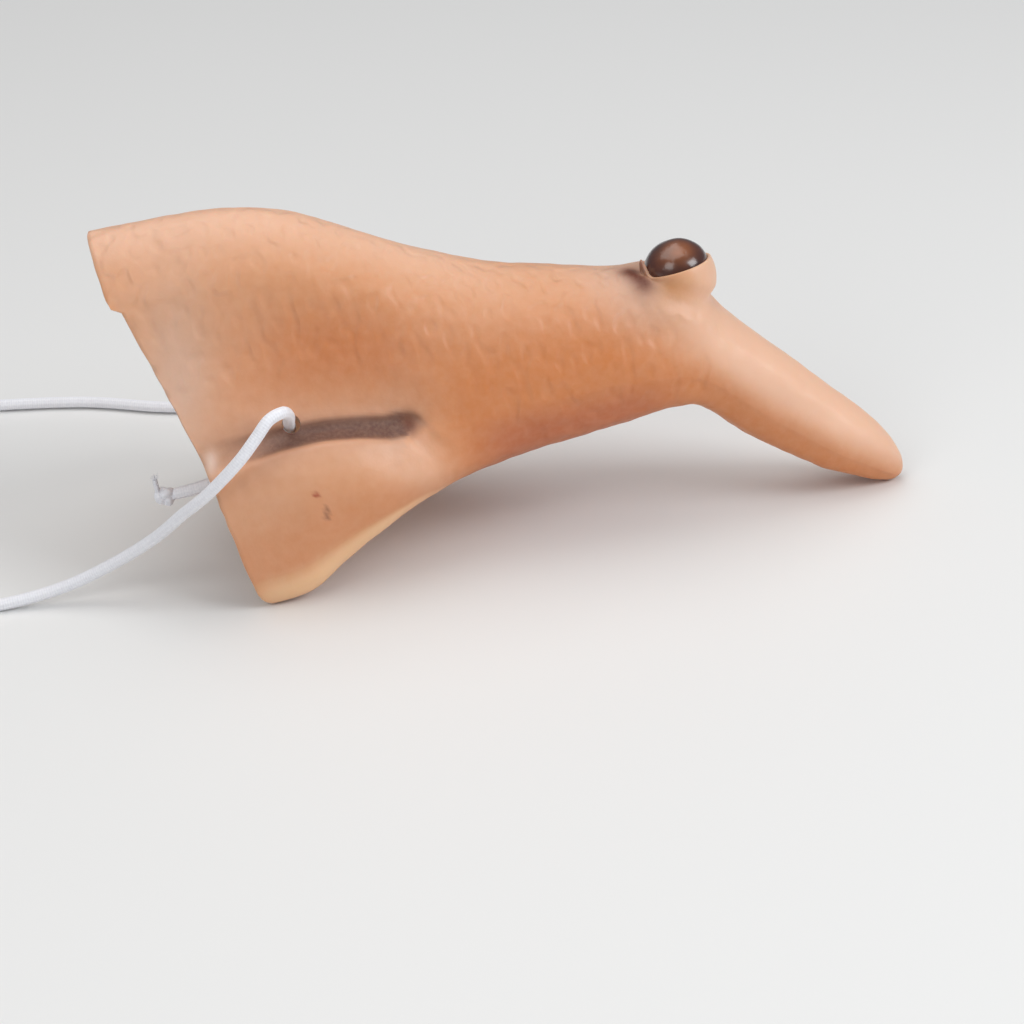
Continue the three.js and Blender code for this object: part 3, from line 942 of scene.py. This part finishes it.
def makeCap():
    base = capLevel - wart["capDepth"]
    profile = [(0.0, base), (capRadius * 0.6, base), (capRadius * 0.97, base), (capRadius, base + 0.0002)]
    for a in np.linspace(0, math.pi / 2, wart["arc"])[:-1]:
        wide = capRadius * math.cos(a) ** wart["capFullness"]
        profile.append((wide, capLevel + wart["capRise"] * math.sin(a)))
    profile.append((0.0, capLevel + wart["capRise"]))
    made = turned("wartCap", profile, lumpy(*wart["capWaves"]))
    # amber shows through where the lacquer is thinnest
    glow = np.array(wartPlace().translation) + wart["glow"]
    off = norm(pointsOf(made.data) - glow, axis=1)
    addMask(made.data, "amber", bell(off, wart["glowSize"]))
    return made


def combine(owner, other, operation):
    modifier = owner.modifiers.new("combine", "BOOLEAN")
    modifier.operation = operation
    modifier.object = other
    modifier.solver = "MANIFOLD"
    mesh = evaluatedMesh(owner)
    owner.modifiers.clear()
    owner.data = mesh
    bpy.data.objects.remove(other)


cordHole = {
    "row": 1.94,  # counted in sections from the rim
    "way": (0.05, 0.72, 0.69),
    "radius": 0.0015,
    "reach": 0.005,
    "sides": 24,
}


def holeRod(name, side):
    belly, up, keys = keyPoints()
    fold = keys[:, nose["foldKey"]]
    spots = belly + up * fold[:, 1:] + fold[:, :1] * np.array([0.0, side, 0.0])
    row = int(cordHole["row"])
    spot = Vector(spots[row] + (spots[row + 1] - spots[row]) * (cordHole["row"] - row) + shift)
    ahead, out, rise = cordHole["way"]
    turn = Vector((ahead, side * out, rise)).normalized().to_track_quat("Z", "Y").to_matrix()
    sides, reach = cordHole["sides"], cordHole["reach"]
    points = [
        spot + turn @ p for end in (-reach, reach) for p in circlePoints(sides, cordHole["radius"], end)
    ]
    faces = stripFaces(2, sides) + [tuple(range(sides - 1, -1, -1)), tuple(range(sides, 2 * sides))]
    made = addMesh(name, points, faces)
    faceOutwards(made)
    return made


def blendJunction(owner, surface, normals):
    # softens the corner where the wart meets the ridge
    mesh = owner.data
    points = pointsOf(mesh)
    centre = np.array(wartPlace().translation)
    reach = norm(points - centre, axis=1)
    near = np.flatnonzero(reach < wart["radius"] * fillet["reach"])
    tree = treeOf(surface)
    weight = np.zeros(len(points))
    for i in near:
        _, at, _ = tree.find(points[i])
        off = abs(np.dot(points[i] - surface[at], normals[at]))
        away = max(off, abs(reach[i] - wart["radius"]))
        weight[i] = max(0.0, 1 - away / fillet["wide"])
    axis = np.array(wartPlace().to_3x3() @ Vector((0.0, 0.0, 1.0)))
    weight *= 1 - smoothStep(*fillet["lip"], (points - centre) @ axis - capLevel)
    weight = np.minimum(1.0, weight * fillet["pull"])[:, None]
    edges = np.empty(len(mesh.edges) * 2, dtype=int)
    mesh.edges.foreach_get("vertices", edges)
    a, b = edges.reshape(-1, 2).T
    degree = np.bincount(a, minlength=len(points)) + np.bincount(b, minlength=len(points))
    for _ in range(fillet["rounds"]):
        total = np.zeros_like(points)
        np.add.at(total, a, points[b])
        np.add.at(total, b, points[a])
        points += weight * (total / degree[:, None] - points) * fillet["step"]
    mesh.vertices.foreach_set("co", points.ravel())
    mesh.update()


skin = outer + shift
combine(shell, makeWartBall(), "UNION")
nearRidge = np.abs(skin[..., 0] - wart["distance"] - shift[0]) < wart["radius"] * 2
blendJunction(shell, skin[nearRidge], gridNormals(skin)[nearRidge])
for side in (-1, 1):
    combine(shell, holeRod("cordHole", side), "DIFFERENCE")
cap = makeCap()
print("wart and cord holes made, %d faces" % len(shell.data.polygons))

# paint masks on the skin, among them painted light and painted shade

paint = {
    "wartStain": ((0.0212, -0.0006), (0.0232, -0.0043)),  # the airbrushed shade's two ends, from above
    "wartStainWide": 0.0019,
    "wartHazeWide": 0.0068,
    "amber": (-0.0016, -0.0058, 0.0012),  # from the ball's centre
    "amberWide": 0.004,
    "speck": (-0.033, -0.0258, 0.02),
    "speckWide": 0.00058,
    "scratch": ((-0.0315, -0.026, 0.0176), (-0.0316, -0.0261, 0.0158)),
    "scratchWide": 0.00055,
    "creaseHazeWide": 0.0048,
    "edgeRow": 2.15,  # the place of the painted light on the rounded lower edge, in key points up the side
    "creaseEdge": (0.002, 0.0005),  # from the crease's middle, and its width
    # where a shade begins and is full, in metres or as a share of the length
    "ramps": {
        "offBall": (0.0056, 0.0068),
        "flapClear": (0.0004, 0.0013),
        "hazeFoot": (-0.008, -0.001),
        "stainFoot": (-0.004, 0.0),
        # the tip's painted light on top and painted shade beneath
        "tip": (0.62, 0.8),
        "tipUnder": (-0.0045, 0.0026),
        # painted shade under the shaft and under the wing
        "shaftUnder": (-0.017, -0.004),
        "shaft": (0.36, 0.46),
        "wingUnder": (0.011, 0.02),
        "wingFoot": (-0.03, -0.022),
        # where the painted light on the rounded lower edge lies along the nose
        "edge": (0.018, 0.026, 0.045, 0.058),
        # where the painted shade on the lowest part of the shaft begins and is full
        "shaftShadeUnder": (-0.001, 0.006),
        "shaftShade": (0.42, 0.5, 0.64, 0.74),
        "ridge": (6.9, 7.9),  # where the ridge's painted light begins and is full, in key points up the side
        "ridgeEnd": (0.38, 0.6),
        "dentsCheek": (0.006, 0.012),
        "dentsShaft": (0.42, 0.5),
        "dentsWart": (0.007, 0.0095),
        "dentsTip": (0.72, 0.8),
    },
    # soft spots, as share, place along the nose and above the fold, and size
    "spots": {
        "creaseHaze": ((0.4, (0.022, 0.001), (0.006, 0.005)),),
        "bloom": ((1.0, (0.0125, 0.013), (0.006, 0.016)),),
        "wartStain": ((0.8, (0.0489, -0.0011), (0.0012, 0.0019)),),
        # painted shade: the hollow above the fold and the skin under the lobe deeper orange
        "paintedHollowShade": (
            (1.0, (0.0395, 0.0115), (0.017, 0.0085)), (0.3, (0.074, 0.011), (0.016, 0.009)),
            (0.35, (0.048, -0.0145), (0.007, 0.004)),
        ),
        "lobeTint": ((1.0, (0.049, -0.009), (0.006, 0.0045)), (0.5, (0.037, -0.009), (0.011, 0.0035))),
        "lump": ((1.0, *crease["lump"]),),
    },
}


def fromLine(points, a, b):
    a, b = np.array(a), np.array(b)
    share = np.clip(((points - a) @ (b - a)) / ((b - a) @ (b - a)), 0, 1)
    return norm(points - a - share[:, None] * (b - a), axis=1)


def paintSkin():
    def ramp(name, value):
        return smoothStep(*paint["ramps"][name], value)

    mesh = shell.data
    points = pointsOf(mesh)
    grid = skin.reshape(-1, 3)
    hollow = (inner + shift).reshape(-1, 3)
    tree = treeOf(np.concatenate([grid, hollow]))
    found = np.array([tree.find(p)[1] for p in points])
    outside = found < len(grid)
    onGrid = np.where(outside, found, 0)
    along = points[:, 0] - shift[0]
    above = aboveFold(outer).reshape(-1)[onGrid]
    far, depth, stain = nearPath(along, above)
    toWart = points - np.array(wartPlace().translation)
    fromWart = norm(toWart, axis=1)
    offBall = ramp("offBall", fromWart)
    fromFlap = norm(points - np.array(wartPlace() @ Vector(wart["flap"])), axis=1)
    fromStain = fromLine(points[:, :2], *paint["wartStain"])
    column = onGrid % outer.shape[1] / nose["perSpan"]
    upSide = np.minimum(column, 2 * nose["ridgeKey"] - column)  # 0 at the belly, 8 at the ridge
    part = along / nose["length"]
    # tip: the nose's end on a slant; its top is painted paler as painted light, its underside darker as
    # painted shade
    tip = ramp("tip", (along + 0.9 * above - 0.003) / nose["length"])  # on a slant
    low = ramp("tipUnder", -above)
    overLine = above > np.interp(along, *np.array(crease["path"])[:, :2].T)
    fromEdge = far - paint["creaseEdge"][0]
    masks = {
        name: sum(share * blob(along, above, *spot) for share, *spot in spots)
        for name, spots in paint["spots"].items()
    }
    masks["creaseHaze"] += stain * bell(far, paint["creaseHazeWide"])
    masks["creaseHaze"] += (1.1 * bell(fromStain, paint["wartHazeWide"]) * offBall
                            * ramp("hazeFoot", toWart[:, 2]))
    masks["wartStain"] += (bell(fromStain, paint["wartStainWide"]) * ramp("stainFoot", toWart[:, 2])
                           * offBall * ramp("flapClear", fromFlap))
    # painted shade: the underside of the shaft and of the wing darker
    under = np.maximum(
        ramp("shaftUnder", -above) * ramp("shaft", part),
        0.45 * ramp("wingUnder", -above) * ramp("wingFoot", above),
    )
    dents = ramp("dentsCheek", above) + ramp("dentsShaft", part)
    masks.update({
        "creaseStain": stain * bell(far, crease["stainWide"], 6),
        "creaseEdge": stain * bell(fromEdge, paint["creaseEdge"][1]) * overLine,
        "amberTint": bell(norm(toWart - np.array(paint["amber"]), axis=1), paint["amberWide"]),
        # painted light: a paler band where the side rounds under
        "paintedEdgeLight": bell(upSide - paint["edgeRow"], 0.2, 4) * within(*paint["ramps"]["edge"], along),
        # painted shade: the undersides of the shaft, wing and tip deeper orange
        "paintedUnderShade": under * (1 - tip) + 0.95 * tip * low,
        # painted shade: the lowest part of the shaft darker red-brown
        "paintedShaftShade": ramp("shaftShadeUnder", -above) * within(*paint["ramps"]["shaftShade"], part),
        # painted light: the ridge and top of the nose paler, as if lit from above
        "paintedRidgeLight": ramp("ridge", upSide) * (1 - ramp("ridgeEnd", part)),
        # painted light: the top of the tip paler
        "paintedTipLight": tip * (1 - low),
        "scratch": 1 - fromLine(points, *paint["scratch"]) / paint["scratchWide"],
        "speck": 1 - norm(points - np.array(paint["speck"]), axis=1) / paint["speckWide"],
        "inside": np.where(outside, 0.0, 1.0),
        "dents": np.minimum(dents, 1) * ramp("dentsWart", fromWart) * (1 - ramp("dentsTip", part)),
    })
    for name, values in masks.items():
        addMask(mesh, name, np.clip(values * np.where(outside, 1.0, name == "inside"), 0, 1))


paintSkin()
print("skin painted")

# materials

latex = {
    "peach": (0.69, 0.35, 0.195, 1.0),
    "warm": (0.65, 0.295, 0.135, 1.0),
    # deep: the colour of the painted shade in the hollows
    "deep": (0.57, 0.172, 0.043, 1.0),
    # the colour of the painted shade on the undersides
    "underShade": (0.60, 0.195, 0.051, 1.0),
    # the colour of the painted shade low on the shaft
    "shaftShade": (0.42, 0.085, 0.03, 1.0),
    # pale: used as painted light on the ridge and tip, and for the flecks and the lobe
    "pale": (0.86, 0.56, 0.41, 1.0),
    # edge: the colour of the painted light on the rounded lower edge
    "edge": (0.88, 0.56, 0.31, 1.0),
    "stain": (0.135, 0.058, 0.042, 1.0),
    "stainDark": (0.055, 0.02, 0.017, 1.0),
    "haze": (0.40, 0.28, 0.235, 1.0),
    "bloom": (0.64, 0.47, 0.38, 1.0),
    "lump": (0.88, 0.72, 0.62, 1.0),
    "umber": (0.12, 0.02, 0.004, 1.0),
    "inside": (0.76, 0.50, 0.32, 1.0),
    "amber": (0.64, 0.27, 0.08, 1.0),
    "speck": (0.34, 0.025, 0.012, 1.0),
    "relief": 0.00031,  # depth of the dents in the shader
    # mask, share and colour, from the first coat to the last; the ridge, tip and edge coats are painted
    # light, the hollow, under and shaft coats painted shade
    "coats": (
        ("paintedRidgeLight", 0.55, "pale"), ("paintedTipLight", 0.65, "pale"), ("paintedHollowShade", 0.8, "deep"),
        ("paintedUnderShade", 0.92, "underShade"), ("paintedShaftShade", 0.6, "shaftShade"), ("lobeTint", 0.34, "pale"),
        ("paintedEdgeLight", 0.85, "edge"), ("amberTint", 0.9, "amber"), ("inside", 0.8, "inside"),
        ("bloom", 0.6, "bloom"), ("creaseHaze", 0.42, "haze"), ("scratch", 0.8, "umber"),
        ("creaseEdge", 0.5, "umber"), ("lump", 0.7, "lump"),
    ),
}


def makeLatex():
    material, tree, shader, place = startMaterial(
        "mouldedLatex", Subsurface_Weight=0.2, Subsurface_Radius=(1.0, 0.42, 0.2), Subsurface_Scale=0.002,
        Specular_IOR_Level=0.45,
    )
    cloud = useGroup(mottle, place, Size=0.016, Contrast=1.8, Detail=3.0)
    fleck = useGroup(mottle, place, Size=0.0016, Contrast=1.5, Detail=4.0)
    colour = blend(cloud, latex["peach"], latex["warm"])
    for mask, amount, tint in latex["coats"]:
        share = times(attribute(tree, mask), amount)
        colour = blend(share, colour, latex[tint])
    colour = blend(times(fleck, 0.16), colour, latex["pale"])
    speck = useGroup(mottle, place, Size=0.0006, Contrast=2.6, Detail=3.0)
    stain = blend(speck, latex["stainDark"], latex["stain"])
    for mask, low, tint in (("creaseStain", 0.72, stain), ("wartStain", 0.93, latex["umber"])):
        broken = timesPlus(speck, 1 - low, low)
        share = times(attribute(tree, mask), broken, clamp=True)
        colour = blend(share, colour, tint)
    spot = times(attribute(tree, "speck"), 1.5, clamp=True)
    colour = blend(spot, colour, latex["speck"])
    rough = timesPlus(fleck, 0.12, 0.38)
    strength = timesPlus(attribute(tree, "dents"), 0.85, 0.15)
    height = useGroup(skinRelief, place, Dent_Size=0.0021, Dents=strength, Pore_Size=0.0005, Pores=0.1)
    finishShader(shader, colour, rough, height, 0.65, latex["relief"])
    return material


gloss = {
    "dark": (0.018, 0.007, 0.009, 1.0),
    "brown": (0.07, 0.021, 0.016, 1.0),
    "amber": (0.36, 0.115, 0.034, 1.0),
}


def makeGloss():
    material, tree, shader, place = startMaterial(
        "brownGloss", Roughness=0.36, Coat_Weight=0.6, Coat_Roughness=0.28, Specular_IOR_Level=0.5,
    )
    swirl = useGroup(mottle, place, Size=0.0045, Contrast=2.6, Detail=2.0)
    dark = blend(swirl, gloss["dark"], gloss["brown"])
    thin = timesPlus(swirl, 0.5, 0.5)
    glow = times(attribute(tree, "amber"), thin)
    colour = blend(glow, dark, gloss["amber"])
    smear = useGroup(mottle, place, Size=0.0016, Contrast=1.4, Detail=3.0)
    rough = timesPlus(smear, 0.16, 0.1)
    finishShader(shader, colour, rough, smear, 0.25, 0.0003)
    return material


def dress(owner, material):
    owner.data.materials.clear()
    owner.data.materials.append(material)
    for face in owner.data.polygons:
        face.use_smooth = True


dress(shell, makeLatex())
shell.data.set_sharp_from_angle(angle=math.radians(60))
dress(cap, makeGloss())
print("materials made")

# table and light

studio = {
    "floorSize": 3.0,
    "floorColour": (0.80, 0.80, 0.79, 1.0),
    "world": (0.9, 0.94, 1.0, 1.0),
    "worldStrength": 0.22,
    "aim": (0.0, 0.0, 0.02),
    # place, size, power, colour
    "lights": (
        ((-0.1, 0.14, 0.75), 0.8, 3.5, (1.0, 0.98, 0.96)),
        ((-0.35, -0.5, 0.45), 0.4, 1.4, (1.0, 0.99, 0.98)),
        ((0.5, -0.25, 0.4), 0.35, 2.5, (0.96, 0.98, 1.0)),
    ),
}


def makeStudio():
    floor = addSquare("floor", (0.0, 0.0, 0.0), studio["floorSize"] / 2)
    material, _, shader, place = startMaterial("paleFloor", Roughness=0.55)
    cloud = useGroup(mottle, place, Size=0.2, Contrast=1.0, Detail=2.0)
    tone = studio["floorColour"]
    colour = blend(cloud, tone, tuple(c * 0.985 for c in tone[:3]) + (1.0,))
    feed(colour, shader.inputs["Base Color"])
    dress(floor, material)
    world = bpy.data.worlds.new("studioWorld")
    world.use_nodes = True
    background = world.node_tree.nodes["Background"]
    background.inputs["Color"].default_value = studio["world"]
    background.inputs["Strength"].default_value = studio["worldStrength"]
    bpy.context.scene.world = world
    bpy.context.scene.view_settings.view_transform = "Standard"
    for i, (place, size, power, colour) in enumerate(studio["lights"]):
        data = bpy.data.lights.new("softbox%d" % i, "AREA")
        data.size, data.energy, data.color = size, power, colour
        lamp = addObject("softbox%d" % i, data)
        lamp.location = place
        lamp.rotation_mode = "QUATERNION"
        lamp.rotation_quaternion = (Vector(studio["aim"]) - Vector(place)).to_track_quat("-Z", "Y")


makeStudio()
print("table and lights set")

# what each piece rides on and stands for

for piece, node, slot in (
    (shell, "nose_shell", "latex_skin"),
    (cap, "wart_cap", "wart_gloss"),
    (cordTube, "elastic_cord", "white_elastic"),
    (nearKnot, "cord_knot_near", "white_elastic"),
    (farKnot, "cord_knot_far", "white_elastic"),
):
    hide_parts(node)
    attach(piece, "root")
